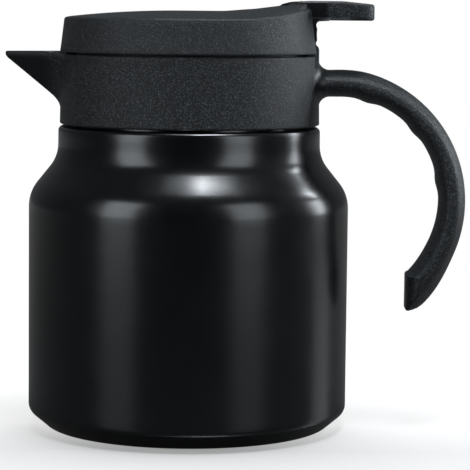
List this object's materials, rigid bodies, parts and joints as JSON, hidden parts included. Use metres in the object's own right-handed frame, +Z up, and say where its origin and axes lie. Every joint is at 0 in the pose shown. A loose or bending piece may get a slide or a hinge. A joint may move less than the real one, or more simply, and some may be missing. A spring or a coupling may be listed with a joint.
{
  "type": "insulated teapot",
  "caption": "Squat vacuum teapot: dark steel flask with a bevelled foot and round shoulder, moulded collar with a pointed open spout, hinged lid with a thumb tab, hooked open handle.",
  "frame": {"origin": "centre of the flat rubber face that the pot stands on", "axes": "+Z up along the flask axis, +X towards the handle, the spout points along -X; the part is symmetric about the plane Y = 0 apart from small inner pieces"},
  "size_m": [0.1668, 0.116, 0.1552],
  "materials": {
    "shell_paint": "semi-gloss black coating over steel",
    "bare_steel": "satin steel",
    "head_plastic": "fine spark-grained black moulding",
    "grip_plastic": "smoother satin black moulding",
    "inner_plastic": "plain dark moulding",
    "seal_silicone": "soft matt silicone",
    "base_rubber": "matt rubber",
    "lid_foam": "closed-cell foam",
    "getter_metal": "dull sintered metal"
  },
  "bodies": {
    "flask": {"outer_shell": "shell_paint", "inner_flask": "bare_steel", "base_pan": "bare_steel", "getter_cup": "bare_steel", "getter_pellet": "getter_metal", "vacuum_seal": "getter_metal", "base_disc": "bare_steel", "base_pad": "base_rubber", "collar": "head_plastic", "thread_ring": "inner_plastic", "neck_gasket": "seal_silicone", "handle": "grip_plastic", "handle_screws": "bare_steel", "hinge_pin": "bare_steel", "strainer_ring": "inner_plastic", "strainer_basket": "bare_steel"},
    "lid": {"lid_cover": "head_plastic", "thumb_lever": "grip_plastic", "lever_screws": "bare_steel", "lid_plug": "inner_plastic", "lid_insulation": "lid_foam", "lid_gasket": "seal_silicone"}
  },
  "joints": [
    {"name": "lid_hinge", "type": "hinge", "parent": "flask", "child": "lid", "pos_m": [0.0442, 0, 0.1376], "axis": [0, 1, 0], "range_deg": [0, 46]}
  ]
}
